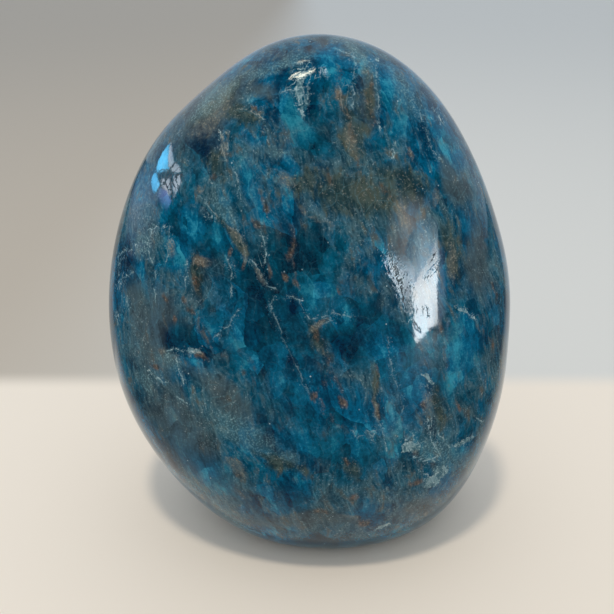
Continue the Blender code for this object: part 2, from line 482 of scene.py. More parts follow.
# Bright panes that the polish mirrors: colour, strength, and the corners of each image in pixels,
# each with how brightly it glows there. The glow of the middle comes first.
HIGHLIGHTS = {
    "right pane": (
        (0.92, 0.97, 1.0), 13.0, 1.0,
        ((436.5, 240, 0.35), (437.5, 262, 0.9), (437.5, 300, 0.9), (437, 323, 0.6), (431, 328, 1),
         (416.5, 343, 1), (413.5, 328, 1), (414.5, 288, 0.9), (421, 274, 0.7), (429, 256, 0.45)),
    ),
    "right leaf": (
        (0.80, 0.92, 1.0), 14.0, 0.5,
        ((385.5, 261, 0.9), (393, 256, 0.16), (405, 254, 0.13), (414, 266, 0.35), (415, 290, 0.75),
         (412, 312, 0.05), (402, 302, 0.7), (392, 282, 1.0)),
    ),
    "right haze": (
        (0.62, 0.82, 1.0), 7.0, 0.55,
        ((412, 216, 0.06), (424, 208, 0.0), (438, 222, 0.1), (439, 262, 0.7), (421, 277, 1.0),
         (413, 289, 0.9), (403, 262, 0.26)),
    ),
    "warm haze": (
        (1.0, 0.86, 0.72), 3.0, 0.8,
        ((382, 268, 0.0), (384, 232, 0.1), (394, 200, 0.1), (412, 188, 0.0), (432, 198, 0.0), (430, 224, 0.3),
         (414, 256, 0.9), (398, 268, 0.6)),
    ),
    "right edge": (
        (0.70, 0.72, 0.90), 2.2, 0.6, ((436, 236, 0.6), (445, 250, 0), (446, 320, 0), (436, 332, 0.6)),
    ),
    "crown glint": (
        (1.0, 0.93, 0.72), 14.0, 1.0,
        ((291, 79, 0.8), (299, 74, 0.9), (306, 71.5, 1), (315, 68, 0.7), (312, 70.5, 0.8), (303, 74.5, 1),
         (295, 79, 0.9)),
    ),
    "upper crown glint": (
        (1.0, 0.88, 0.66), 7.0, 0.9,
        ((297, 62.5, 0.6), (303, 60.5, 0.9), (308, 60.5, 0.5), (303, 62, 0.8)),
    ),
    "side crown glint": (
        (0.95, 0.97, 1.0), 8.0, 1.0,
        ((321.5, 68, 0.6), (322.6, 68, 0.6), (323.4, 74, 0.6), (322.4, 74, 0.6)),
    ),
    "left azure": (
        (0.15, 0.60, 1.0), 11.0, 1.0,
        ((170, 143, 0.5), (163, 152, 0.9), (158, 162, 0.8), (156.5, 172, 0.9), (162, 171.5, 1),
         (168.5, 170, 0.7), (168, 156, 0.9)),
    ),
    "left azure low": (
        (0.15, 0.58, 1.0), 10.0, 1.0,
        ((153.5, 173.5, 0.8), (157, 174, 0.8), (160, 184, 1), (160, 186, 0.9), (155.5, 192, 0.7),
         (152, 188, 0.7), (151.5, 180, 0.8)),
    ),
    "left white": (
        (0.84, 0.90, 1.0), 6.5, 0.55,
        ((171, 142, 0.8), (172.5, 154, 0.2), (175, 163, 0.3), (179, 166, 0.8), (180.5, 172, 0.8),
         (176, 173, 0.9), (171, 171, 0.7), (168.5, 166, 0.8), (168.5, 154, 0.9)),
    ),
    "left white side": (
        (0.84, 0.90, 1.0), 6.5, 1.0,
        ((173.5, 176, 0.8), (180, 175.5, 0.8), (181, 182, 0.9), (178, 190, 0.6), (174, 199, 0.3),
         (173, 190, 0.8)),
    ),
    "left white middle": (
        (0.84, 0.90, 1.0), 6.5, 1.0,
        ((161, 179, 0.7), (166, 178, 0.8), (170.5, 177, 0.6), (171, 186, 0.7), (171, 197, 0.4),
         (168, 193, 0.8), (163, 187, 0.9)),
    ),
    "left violet": (
        (0.30, 0.44, 1.0), 6.0, 0.6,
        ((160, 187, 0.5), (167, 191, 0.9), (171, 200, 0.8), (167, 212, 0.0), (161, 207, 0.0),
         (156, 195, 0.1)),
    ),
    "left rim": (
        (0.50, 0.60, 0.85), 2.0, 0.7,
        ((146, 158, 0.0), (157, 164, 0.4), (157, 194, 0.7), (160, 215, 0.2), (154, 256, 0.0), (132, 268, 0.0),
         (124, 226, 0.0), (134, 184, 0.0)),
    ),
}  # fmt: skip


class StoneSettings(bpy.types.PropertyGroup):
    """Sizes and colours of the stone."""

    net: bpy.props.IntProperty(
        name="Net", description="Faces along each side of the ball that the stone is shaped from",
        default=127, min=8,
    )  # fmt: skip
    waviness: bpy.props.FloatProperty(
        name="Waviness", description="How deep the polish dips between hard and soft grains",
        default=0.03 * MM, unit="LENGTH", precision=6,
    )  # fmt: skip
    groove: bpy.props.FloatProperty(
        name="Groove", description="Depth of the hairlines", default=0.06 * MM, unit="LENGTH", precision=6
    )
    cell: bpy.props.FloatProperty(
        name="Cell", description="Width of the larger crystals", default=8.0 * MM, unit="LENGTH", precision=5
    )
    grain: bpy.props.FloatProperty(
        name="Grain", description="Lean of the crystals from upright", default=radians(-15.0), subtype="ANGLE"
    )
    polish: bpy.props.FloatProperty(
        name="Polish", description="Roughness of the polished stone",
        default=0.045, subtype="FACTOR", min=0.0, max=1.0,
    )  # fmt: skip
    deep: bpy.props.FloatVectorProperty(
        name="Deep blue", description="Colour of the darkest crystals",
        default=(0.0002, 0.013, 0.038), subtype="COLOR",
    )  # fmt: skip
    teal: bpy.props.FloatVectorProperty(
        name="Teal", description="Colour of the middling crystals",
        default=(0.0003, 0.046, 0.092), subtype="COLOR",
    )  # fmt: skip
    azure: bpy.props.FloatVectorProperty(
        name="Azure", description="Colour of the bright crystals",
        default=(0.001, 0.109, 0.206), subtype="COLOR",
    )  # fmt: skip
    pale: bpy.props.FloatVectorProperty(
        name="Pale blue", description="Colour of the palest crystals",
        default=(0.030, 0.275, 0.380), subtype="COLOR",
    )  # fmt: skip
    green: bpy.props.FloatVectorProperty(
        name="Green", description="Colour of the greener crystals",
        default=(0.003, 0.092, 0.110), subtype="COLOR",
    )  # fmt: skip
    slate: bpy.props.FloatVectorProperty(
        name="Slate", description="Colour of the grey crystals",
        default=(0.094, 0.131, 0.137), subtype="COLOR",
    )  # fmt: skip
    olive: bpy.props.FloatVectorProperty(
        name="Olive", description="Colour of the stained bands",
        default=(0.058, 0.077, 0.058), subtype="COLOR",
    )  # fmt: skip
    rust: bpy.props.FloatVectorProperty(
        name="Rust", description="Colour of the brown threads", default=(0.155, 0.080, 0.048), subtype="COLOR"
    )
    flake: bpy.props.FloatVectorProperty(
        name="Flake", description="Colour of the pale flakes", default=(0.240, 0.360, 0.370), subtype="COLOR"
    )
    cream: bpy.props.FloatVectorProperty(
        name="Cream", description="Colour of the hairlines and specks",
        default=(0.560, 0.640, 0.620), subtype="COLOR",
    )  # fmt: skip


class StageSettings(bpy.types.PropertyGroup):
    """Colours and lights of the stage."""

    floor: bpy.props.FloatVectorProperty(
        name="Floor", description="Colour of the floor", default=(0.800, 0.703, 0.585), subtype="COLOR"
    )
    backdrop: bpy.props.FloatVectorProperty(
        name="Backdrop", description="Colour of the far part of the floor",
        default=(0.450, 0.385, 0.305), subtype="COLOR",
    )  # fmt: skip
    backdrop_right: bpy.props.FloatVectorProperty(
        name="Backdrop right", description="Colour of the far part of the floor at its right side",
        default=(0.630, 0.610, 0.560), subtype="COLOR",
    )  # fmt: skip
    backdrop_start: bpy.props.FloatProperty(
        name="Backdrop start", description="Distance behind the stone where the colour changes",
        default=57.0 * MM, unit="LENGTH",
    )  # fmt: skip
    overhead: bpy.props.FloatProperty(
        name="Overhead light", description="Power of the light above the stone",
        default=3.5, unit="POWER", min=0.0,
    )  # fmt: skip
    lamp_width: bpy.props.FloatProperty(
        name="Lamp width", description="Width of the light above the stone",
        default=0.10, unit="LENGTH", min=0.01,
    )  # fmt: skip
    ambient: bpy.props.FloatProperty(
        name="Ambient", description="Strength of the soft light from all round", default=0.86, min=0.0
    )


def edge_reach(angle):
    """Distance in mm from the middle to the front outline at angles clockwise from straight up."""
    upright_reach = np.where(np.cos(angle) > 0.0, TOP_REACH, HEEL_REACH)
    reach = 1.0 / np.hypot(np.sin(angle) / SIDE_REACH, np.cos(angle) / upright_reach)
    reach *= 1.0 - HEEL_LEAN * np.sin(2.0 * angle) * (1.0 - np.cos(angle)) / 2.0
    for turn, spread, height in EDGE_SWELLS.values():
        away = np.degrees(np.arccos(np.cos(angle - radians(turn))))
        reach += height * np.exp(-((away / spread) ** 2))
    return reach


def surface_distance(ways):
    """Distance in mm from the middle to the surface along unit directions."""
    front = FRONT_SWELL * (1.0 - FRONT_TAPER * ways[:, 2])
    back = BACK_SWELL * (1.0 - BACK_TAPER * ways[:, 2])
    swell = np.where(ways[:, 1] < 0.0, front, back)
    across = np.hypot(ways[:, 0], ways[:, 2]) / edge_reach(np.arctan2(ways[:, 0], ways[:, 2]))
    through = np.abs(ways[:, 1]) / swell
    nearness = (across**FULLNESS + through**FULLNESS) ** (FLAT_CRISPNESS / FULLNESS)
    for turn, rise, distance in GROUND_FLATS.values():
        turn, rise = radians(turn), radians(rise)
        facing = np.array((sin(turn) * cos(rise), -cos(turn) * cos(rise), sin(rise)))
        nearness += (np.maximum(0.0, ways @ facing) / distance) ** FLAT_CRISPNESS
    return nearness ** (-1.0 / FLAT_CRISPNESS)


def stone_middle():
    """The point in mm that the stone is measured from, once its box is centred over the origin."""
    turns = np.linspace(0.0, 2.0 * pi, 2 * BOX_STEPS + 1)
    turns, rises = np.meshgrid(turns, np.linspace(-pi / 2.0, pi / 2.0, BOX_STEPS + 1))
    ways = np.stack((np.cos(turns) * np.cos(rises), np.sin(turns) * np.cos(rises), np.sin(rises)), axis=-1)
    ways = ways.reshape(-1, 3)
    places = ways * surface_distance(ways)[:, None]
    aside, ahead, _ = -(places.min(axis=0) + places.max(axis=0)) / 2.0
    return np.array((aside, ahead, MIDDLE_HEIGHT))


STONE_MIDDLE = stone_middle()


def soft_step(low, high, values):
    """0 below low, 1 above high, and a smooth rise between them."""
    share = np.clip((values - low) / (high - low), 0.0, 1.0)
    return share * share * (3.0 - 2.0 * share)


def coordinates(mesh):
    places = np.empty(len(mesh.vertices) * 3)
    mesh.vertices.foreach_get("co", places)
    return places.reshape(-1, 3)


def noise_field(places, size, seed, octaves):
    """Three smooth numbers from -1 to 1 at each place, that change over about size."""
    noise.seed_set(seed)
    shift = Vector([seed * step for step in SEED_STEP])
    field = np.zeros_like(places)
    for index, place in enumerate(places / size):
        field[index] = noise.turbulence_vector(Vector(place) + shift, octaves, False)
    return field


class Outlook:
    """The stone from one side: each point's place in the picture, and how squarely it faces the eye."""

    def __init__(self, places, normals, turn=0.0):
        spin = np.array(((cos(turn), -sin(turn), 0.0), (sin(turn), cos(turn), 0.0), (0.0, 0.0, 1.0)))
        eye = spin @ np.array(CAMERA_PLACE)
        right = spin @ np.array((1.0, 0.0, 0.0))
        rays = places - eye
        depth = rays @ (spin @ AHEAD)
        self.across = FRAME_PIXELS / 2.0 + FOCAL_PIXELS * (rays @ right) / depth
        self.down = FRAME_PIXELS / 2.0 - FOCAL_PIXELS * (rays @ (spin @ UP)) / depth
        self.pixel = depth / FOCAL_PIXELS
        facing = -np.sum(rays * normals, axis=1) / np.linalg.norm(rays, axis=1)
        self.shown = soft_step(*RIM_FADE, facing)

    def patch(self, mark, power=OVAL_POWER):
        """A soft-edged oval, or with a higher power a plate with rounded corners."""
        across, down, length, width, slope = mark
        slope = radians(slope)
        along = (self.across - across) * cos(slope) + (self.down - down) * sin(slope)
        aside = (self.down - down) * cos(slope) - (self.across - across) * sin(slope)
        return self.shown * np.exp(-((along / length) ** power) - (aside / width) ** power)

    def distance(self, start, end):
        """Signed distance in mm from the line between two pixels, and how far along it, from 0 to 1."""
        run = np.array(end, float) - np.array(start, float)
        length = np.hypot(*run)
        across = self.across - start[0]
        down = self.down - start[1]
        along = (across * run[0] + down * run[1]) / length**2
        aside = (down * run[0] - across * run[1]) / length
        return aside * self.pixel, along, length * self.pixel

    def pit(self, pit):
        """Depth in mm of a round pit."""
        across, down, radius, depth = pit
        reach = np.hypot(self.across - across, self.down - down) * self.pixel
        return self.shown * depth * (1.0 - soft_step(0.0, radius, reach))


def both_sides(places, normals):
    """The stone as the camera sees it, and as the same camera would see it from behind."""
    return Outlook(places, normals), Outlook(places, normals, pi)


class Value:
    """What comes out of a node. Arithmetic on a number adds a Math node."""

    def __init__(self, recipe, socket):
        self.recipe = recipe
        self.socket = socket

    def __add__(self, other):
        return self.recipe.maths("ADD", self, other)

    def __radd__(self, other):
        return self.recipe.maths("ADD", other, self)

    def __sub__(self, other):
        return self.recipe.maths("SUBTRACT", self, other)

    def __rsub__(self, other):
        return self.recipe.maths("SUBTRACT", other, self)

    def __mul__(self, other):
        return self.recipe.maths("MULTIPLY", self, other)

    def __rmul__(self, other):
        return self.recipe.maths("MULTIPLY", other, self)

    def __abs__(self):
        return self.recipe.maths("ABSOLUTE", self)


class Recipe:
    """The nodes of a material or of the surroundings."""

    def __init__(self, owner, shader):
        owner.use_nodes = True
        self.tree = owner.node_tree
        self.shader = self.tree.nodes[shader]

    def node(self, kind, settings, values):
        """Adds a node: its settings first, then its sockets' values or links."""
        made = self.tree.nodes.new("ShaderNode" + kind)
        for name, setting in settings.items():
            if name == "stops":
                self.set_stops(made.color_ramp, setting)
            else:
                setattr(made, name, setting)
        sockets = {socket.identifier: socket for socket in made.inputs}
        for name, value in values.items():
            self.feed(sockets[name], value)
        return made

    def set_stops(self, ramp, stops):
        while len(ramp.elements) < len(stops):
            ramp.elements.new(0.5)
        for element, (place, colour) in zip(ramp.elements, stops):
            element.position = place
            element.color = (*colour, 1.0)

    def feed(self, socket, value):
        if isinstance(value, Value):
            self.tree.links.new(value.socket, socket)
        else:
            socket.default_value = value

    def maths(self, operation, *values):
        sockets = dict(zip(("Value", "Value_001"), values))
        return Value(self, self.node("Math", {"operation": operation}, sockets).outputs[0])

    def most(self, first, *others):
        """The greatest of some values."""
        for other in others:
            first = self.maths("MAXIMUM", first, other)
        return first

    def vector(self, operation, *values):
        sockets = dict(zip(("Vector", "Vector_001"), values))
        return Value(self, self.node("VectorMath", {"operation": operation}, sockets).outputs["Vector"])

    def scaled(self, vector, scale):
        made = self.node("VectorMath", {"operation": "SCALE"}, {"Vector": vector, "Scale": scale})
        return Value(self, made.outputs["Vector"])

    def turned(self, vector, angle):
        """The vector, turned about the axis from front to back."""
        made = self.node("VectorRotate", {"rotation_type": "Y_AXIS"}, {"Vector": vector, "Angle": angle})
        return Value(self, made.outputs["Vector"])

    def place(self, kind="Object"):
        """Texture coordinates of a kind."""
        return Value(self, self.node("TexCoord", {}, {}).outputs[kind])

    def axes(self, vector):
        made = self.node("SeparateXYZ", {}, {"Vector": vector})
        return [Value(self, socket) for socket in made.outputs]

    def gloss(self):
        """1 for what the polish mirrors, and 0 for what is seen or lit directly."""
        return Value(self, self.node("LightPath", {}, {}).outputs["Is Glossy Ray"])

    def step(self, value, low, high):
        """0 below low, 1 above high, and a smooth rise between them."""
        sockets = {"Value": value, "From Min": low, "From Max": high}
        made = self.node("MapRange", {"interpolation_type": "SMOOTHSTEP"}, sockets)
        return Value(self, made.outputs["Result"])

    def noise(self, vector, size, detail, roughness=0.55, output="Fac"):
        sockets = {"Vector": vector, "Scale": 1.0 / size, "Detail": detail, "Roughness": roughness}
        return Value(self, self.node("TexNoise", {}, sockets).outputs[output])

    def cells(self, vector, size, feature="F1"):
        """Distance into the cells of about a size."""
        sockets = {"Vector": vector, "Scale": 1.0 / size}
        return Value(self, self.node("TexVoronoi", {"feature": feature}, sockets).outputs["Distance"])

    def facets(self, vector, size):
        """Crystals of about a size: three numbers of their own each, and a fall of tone across each."""
        made = self.node("TexVoronoi", {}, {"Vector": vector, "Scale": 1.0 / size})
        colour = Value(self, made.outputs["Color"])
        away = self.vector("SUBTRACT", vector, Value(self, made.outputs["Position"]))
        lean = self.vector("SUBTRACT", colour, (0.5, 0.5, 0.5))
        fall = self.node("VectorMath", {"operation": "DOT_PRODUCT"}, {"Vector": away, "Vector_001": lean})
        return self.parts(colour), Value(self, fall.outputs["Value"]) * (1.0 / size)

    def parts(self, colour):
        made = self.node("SeparateColor", {}, {"Color": colour})
        return [Value(self, socket) for socket in made.outputs]

    def mix(self, factor, first, second):
        sockets = {"Factor_Float": factor}
        for name, colour in (("A_Color", first), ("B_Color", second)):
            sockets[name] = colour if isinstance(colour, Value) else (*colour, 1.0)
        made = self.node("Mix", {"data_type": "RGBA"}, sockets)
        result = next(socket for socket in made.outputs if socket.identifier == "Result_Color")
        return Value(self, result)

    def paint(self, socket, value):
        """Feeds a socket of the tree's own shader."""
        self.feed(self.shader.inputs[socket], value)

    def mark(self, name):
        """A number that the mesh keeps at each of its points."""
        return Value(self, self.node("Attribute", {"attribute_name": name}, {}).outputs["Fac"])

    def shift(self, vector, size, amount):
        """The vector, pushed about by smooth noise."""
        push = self.noise(vector, size, 2.0, output="Color")
        push = self.scaled(self.vector("SUBTRACT", push, (0.5, 0.5, 0.5)), amount)
        return self.vector("ADD", vector, push)


def fine_ball(net):
    """A ball with an even net of four-sided faces, as directions from its middle."""
    body = bmesh.new()
    bmesh.ops.create_cube(body, size=2.0)
    bmesh.ops.subdivide_edges(body, edges=body.edges[:], cuts=net - 1, use_grid_fill=True)
    mesh = bpy.data.meshes.new(NODE)
    body.to_mesh(mesh)
    body.free()
    ways = np.tan(coordinates(mesh) * pi / 4.0)
    ways /= np.linalg.norm(ways, axis=1, keepdims=True)
    return mesh, ways


def cut_foot(mesh):
    """Cuts the stone off flat at the floor and closes it."""
    body = bmesh.new()
    body.from_mesh(mesh)
    cut = bmesh.ops.bisect_plane(
        body, geom=body.verts[:] + body.edges[:] + body.faces[:], dist=CUT_SNAP,
        plane_co=(0.0, 0.0, 0.0), plane_no=(0.0, 0.0, -1.0), clear_outer=True,
    )  # fmt: skip
    rim = [part for part in cut["geom_cut"] if isinstance(part, bmesh.types.BMEdge)]
    for edge in rim:
        for vertex in edge.verts:
            vertex.co.z = 0.0
    bmesh.ops.contextual_create(body, geom=rim)
    bmesh.ops.recalc_face_normals(body, faces=body.faces[:])
    body.to_mesh(mesh)
    body.free()


def stray_marks(draws, count):
    """Marks for the side that the photograph doesn't show, in the same manner."""
    marks = []
    for _ in range(count):
        turn, reach = draws.uniform(0.0, 2.0 * pi), draws.uniform(0.0, 1.0) ** 0.5
        across = STRAY_MIDDLE[0] + STRAY_REACH[0] * reach * cos(turn)
        down = STRAY_MIDDLE[1] + STRAY_REACH[1] * reach * sin(turn)
        length, width = draws.uniform(0.0, 1.0), draws.uniform(0.0, 1.0)
        marks.append((across, down, length, width, draws.normal(STRAY_SLOPE, MARK_SLOPE_SPREAD)))
    return marks


def stray_lines(draws, count):
    """Hairlines for that side, each as how plain it is and its points."""
    lines = []
    for across, down, length, plainness, slope in stray_marks(draws, count):
        points = [(across, down)]
        for _ in range(int(LINE_STEPS[0] + LINE_STEPS[1] * length)):
            slope = radians(draws.normal(STRAY_SLOPE, LINE_SLOPE_SPREAD))
            across, down = across + LINE_STEP * cos(slope), down + LINE_STEP * sin(slope)
            points.append((across, down))
        lines.append((LINE_PLAINNESS[0] + LINE_PLAINNESS[1] * plainness, *points))
    return lines


def paint_marks(mesh, places, normals):
    """Keeps on the mesh how strongly each kind of mark shows at each point."""
    broad = noise_field(places, *BROAD_WANDER)
    fine = noise_field(places, *FINE_WANDER)
    front, back = both_sides(places + MARK_WANDER[0] * broad + MARK_WANDER[1] * fine, normals)
    draws = np.random.default_rng(STRAY_SEED)
    for kind, marks in MARKS.items():
        strength = np.zeros(len(places))
        power = PLATE_POWER if kind == "cream" else OVAL_POWER
        for mark in marks.values():
            strength = np.maximum(strength, front.patch(mark, power))
        count, shortest, longest, thinnest, widest = STRAY_MARKS[kind]
        for across, down, length, width, slope in stray_marks(draws, count):
            length = shortest + (longest - shortest) * length
            width = thinnest + (widest - thinnest) * width
            strength = np.maximum(strength, back.patch((across, down, length, width, slope), power))
        keep(mesh, kind, strength)
    front, back = both_sides(places + LINE_WANDER[0] * broad + LINE_WANDER[1] * fine, normals)
    for kind, lines in (("pale_line", PALE_LINES), ("brown_line", BROWN_LINES), ("crack", CRACKS)):
        nearest = np.full(len(places), FAR)
        strength = np.zeros(len(places))
        shown = [(front, line) for line in lines.values()]
        shown += [(back, line) for line in stray_lines(draws, len(lines) + EXTRA_LINES)]
        for outlook, (plainness, *points) in shown:
            for start, end in zip(points[:-1], points[1:]):
                aside, along, length = outlook.distance(start, end)
                beyond = np.maximum(0.0, np.maximum(-along, along - 1.0)) * length
                reach = np.hypot(aside, beyond)
                closer = (reach < np.abs(nearest)) & (outlook.shown > 0.0)
                nearest = np.where(closer, np.where(aside < 0.0, -reach, reach), nearest)
                fade = (1.0 - soft_step(*LINE_END, beyond)) * (reach < LINE_REACH)
                strength = np.where(closer, outlook.shown * plainness * fade, strength)
        keep(mesh, kind, nearest)
        keep(mesh, kind + "_strength", strength)
    return front, back, draws


def keep(mesh, name, values):
    """Keeps a number at each point of the mesh, where the finish finds it."""
    mesh.attributes.new(name, "FLOAT", "POINT").data.foreach_set("value", values.astype(np.float32))


def read(mesh, name):
    values = np.empty(len(mesh.vertices), np.float32)
    mesh.attributes[name].data.foreach_get("value", values)
    return values.astype(float)


def wear_surface(mesh, places, normals, settings, looks):
    """Works the polish's dips, the pits and the hairlines' grooves into the stone, always inwards."""
    front, back, draws = looks
    broad = noise_field(places, *BROAD_DIP)[:, 0].clip(-1.0, 1.0)
    fine = noise_field(places, *FINE_DIP)[:, 1].clip(-1.0, 1.0)
    depth = settings.waviness / MM * (1.0 + broad) / 2.0
    depth += settings.waviness / MM * FINE_DIP_SHARE * (1.0 + fine) / 2.0
    pits = np.zeros(len(places))
    for pit in PITS.values():
        pits = np.maximum(pits, front.pit(pit))
    pitted = 1.0 - front.patch(PIT_FREE, PIT_FREE_POWER)
    for across, down, size, deepness, _ in stray_marks(draws, STRAY_PITS):
        radius = PIT_RADIUS[0] + PIT_RADIUS[1] * size**2
        deep = PIT_DEPTH[0] + PIT_DEPTH[1] * deepness**2
        pits = np.maximum(pits, front.pit((across, down, radius, deep)) * pitted)
        pits = np.maximum(pits, back.pit((2.0 * STRAY_MIDDLE[0] - across, down, radius, deep)))
    keep(mesh, "pit", np.clip(pits / FULL_DEPTH, 0.0, 1.0))
    groove = np.zeros(len(places))
    for kind in ("pale_line", "brown_line"):
        beside = soft_step(*GROOVE_SIDE, np.abs(read(mesh, kind)))
        groove = np.maximum(groove, read(mesh, kind + "_strength") * (1.0 - beside))
    depth += pits + groove * settings.groove / MM
    return places - normals * depth[:, None]


def near(recipe, line, sway, inner, outer):
    """Closeness to a kind of line: 1 within the inner distance in mm, and 0 past the outer one."""
    away = abs(recipe.mark(line) + sway)
    return recipe.mark(line + "_strength") * (1.0 - recipe.step(away, inner, outer))


def polished_apatite(settings):
    """Blue crystals with stained, speckled seams between them, frost, flakes and hairlines."""
    material = bpy.data.materials.new(SLOT)
    recipe = Recipe(material, "Principled BSDF")
    place = recipe.scaled(recipe.place(), 1.0 / MM)
    bent = recipe.shift(place, 15.0, 5.0)
    ragged = recipe.shift(bent, 2.4, 1.1)
    turned = recipe.turned(ragged, -settings.grain)
    grain = recipe.vector("MULTIPLY", turned, (1.0, 1.0, 0.6))
    fibre = recipe.vector("MULTIPLY", turned, (1.0, 1.0, 0.2))
    cell = settings.cell / MM

    # Noises from a broad drift down to beads, and stripes along the crystals
    drift = recipe.noise(bent, 12.0, 2.0)
    blotch = recipe.noise(grain, 5.0, 3.0, 0.5)
    spot = recipe.noise(grain, 2.3, 3.0, 0.55)
    strand = recipe.noise(fibre, 1.2, 3.0, 0.6)
    stripe = recipe.noise(recipe.vector("MULTIPLY", turned, (1.0, 1.0, 0.12)), 0.45, 2.0, 0.5)
    crumb = recipe.noise(place, 1.0, 3.0, 0.65)
    bead = recipe.noise(place, 0.40, 2.0, 0.6)

    # Tone of the crystals, from deep to pale: glassy patches, and facets that fall from light to dark
    big, big_fall = recipe.facets(grain, cell)
    small, small_fall = recipe.facets(grain, cell / 2.7)
    dark_patch = recipe.step(blotch, 0.50, 0.60)
    light_patch = recipe.step(1.0 - blotch, 0.52, 0.62)
    spots = recipe.step(spot, 0.44, 0.56)
    tone = light_patch * 0.14 - dark_patch * 0.13 + spots * 0.12 + big[0] * 0.13 + small[0] * 0.15 - 0.30
    tone = tone + big_fall * 0.42 + small_fall * 0.36 + crumb * 0.42 + stripe * 0.38 + bead * 0.44
    tone = tone + recipe.mark("azure") * 0.28 - recipe.mark("navy") * 0.20 - recipe.mark("clear") * 0.10
    stops = ((0.08, settings.deep), (0.38, settings.teal), (0.68, settings.azure), (1.0, settings.pale))
    colour = Value(recipe, recipe.node("ValToRGB", {"stops": stops}, {"Fac": tone}).outputs["Color"])
    greener = recipe.step(drift * 0.9 + small[1] * 0.25 + big[1] * 0.3, 0.55, 0.95)
    colour = recipe.mix(greener * 0.40, colour, recipe.mix(tone, DARK_GREEN, settings.green))

    # Grey and brown veils between the clear stretches, thickest in the seams between the crystals
    clear = recipe.step(recipe.mark("clear") + blotch * 0.6 - 0.3, 0.10, 0.60)
    clear = recipe.most(recipe.mark("azure"), recipe.mark("navy"), clear)
    cloudy = 1.0 - clear * 0.96
    edge = recipe.cells(grain, cell, "DISTANCE_TO_EDGE")
    open_seam = recipe.step(drift + big[2] * 0.15 + blotch * 0.3, 0.60, 0.84)
    seam = (1.0 - recipe.step(edge + strand * 0.30, 0.08, 0.34)) * open_seam
    veil = recipe.step(strand + drift * 0.7 + spot * 0.5, 1.00, 1.42)
    veil = recipe.most(veil, seam) * 0.85 * cloudy
    grey = recipe.mix(recipe.step(stripe, 0.3, 0.7), DARK_VEIL, PALE_VEIL)
    veil_colour = recipe.mix(recipe.step(spot + strand * 0.5, 0.76, 1.00), grey, BROWN_VEIL)
    colour = recipe.mix(veil, colour, veil_colour)

    # Grey and olive stretches
    slate = recipe.step(recipe.mark("slate") + blotch * 0.8 + crumb * 0.5 - 0.65, 0.15, 0.85)
    colour = recipe.mix(slate * 0.72 * cloudy, colour, recipe.mix(tone, DARK_SLATE, settings.slate))
    olive = recipe.step(recipe.mark("olive") * 0.85 + strand * 0.9 + spot * 0.8 - 0.85, 0.12, 0.75)
    stained = recipe.step(spot * 0.7 + crumb * 0.4 + stripe * 0.3, 0.60, 0.82)
    colour = recipe.mix(olive * 0.78, colour, recipe.mix(stained, DARK_OLIVE, settings.olive))

    # Brown smudges and threads
    thread = recipe.step(strand + spot * 0.6, 0.94, 1.14) * cloudy
    wander = (strand - 0.5) * 3.0
    brown_line = near(recipe, "brown_line", wander, 0.0, 0.8) * recipe.step(crumb + strand, 0.90, 1.20)
    smudge = recipe.step(recipe.mark("rust") * 1.1 + strand * 1.3 + crumb * 0.5 - 1.10, 0.20, 0.95)
    rust = recipe.most(thread * 0.26, brown_line * 0.50, smudge * 0.76)
    tan = recipe.mix(small[2] * 0.6, settings.rust, TAN)
    bright = recipe.step(stripe * 0.6 + crumb * 0.6, 0.48, 0.74)
    colour = recipe.mix(rust, colour, recipe.mix(bright, DARK_RUST, tan))

    # Beige crumbs
    speck = recipe.step(bead, 0.48, 0.66)
    beige = recipe.step(recipe.mark("beige") + spot * 0.9 + crumb * 0.7 - 0.90, 0.20, 0.85)
    colour = recipe.mix(beige * (0.35 + 0.65 * speck) * 0.76, colour, BEIGE)

    # Frost: crowded pale specks
    frost = recipe.step(recipe.mark("frost") + blotch * 0.5 + crumb * 0.5 - 0.50, 0.20, 0.90)
    colour = recipe.mix(frost * (0.30 + 0.70 * speck) * 0.66, colour, FROST)

    # Pale flakes with stripes along the crystals, and hairlines: a soft glow with beads along it
    fine_edge = recipe.cells(ragged, 3.4, "DISTANCE_TO_EDGE")
    hair = recipe.step(crumb * 0.6 + drift * 0.6, 0.56, 0.72) * (1.0 - clear * 0.6)
    hair = (1.0 - recipe.step(fine_edge, 0.0, 0.045)) * hair
    sway = (crumb - 0.5) * 1.1 + (strand - 0.5) * 1.3
    glow = near(recipe, "pale_line", sway, 0.0, 0.55) * recipe.step(crumb, 0.36, 0.64)
    colour = recipe.mix(recipe.most(glow * 0.60, hair * 0.36), colour, HAIR_GLOW)
    # Some of the flake plates and pale strokes are painted highlights, and the left rim stroke is a painted
    # reflection of the floor.
    flake = recipe.step(recipe.mark("cream") * 0.7 + crumb * 0.8 + bead * 0.5 - 0.65, 0.34, 0.54)
    bright = recipe.step(stripe + crumb * 0.6 + bead * 0.4, 0.84, 1.14)
    colour = recipe.mix(flake * 0.76, colour, recipe.mix(bright, DARK_FLAKE, settings.flake))
    broken = recipe.step(crumb * 0.7 + spot * 0.5, 0.48, 0.64)
    core = near(recipe, "pale_line", sway, 0.0, 0.16) * broken
    fringe = near(recipe, "pale_line", wander, 0.3, 1.3) * 0.6
    sparkle = recipe.step(bead, 0.58, 0.69) * recipe.most(olive * 0.55, veil * 0.6, rust, flake, fringe)
    pale = recipe.most(core * 0.84, sparkle * 0.70)
    stained = recipe.step(recipe.most(rust, olive, beige), 0.20, 0.55)
    pale_colour = recipe.mix(recipe.step(bead * 0.5 + crumb * 0.6, 0.50, 0.70), PALE_HAIR, settings.cream)
    colour = recipe.mix(pale, colour, recipe.mix(stained * 0.85, pale_colour, STAINED_HAIR))
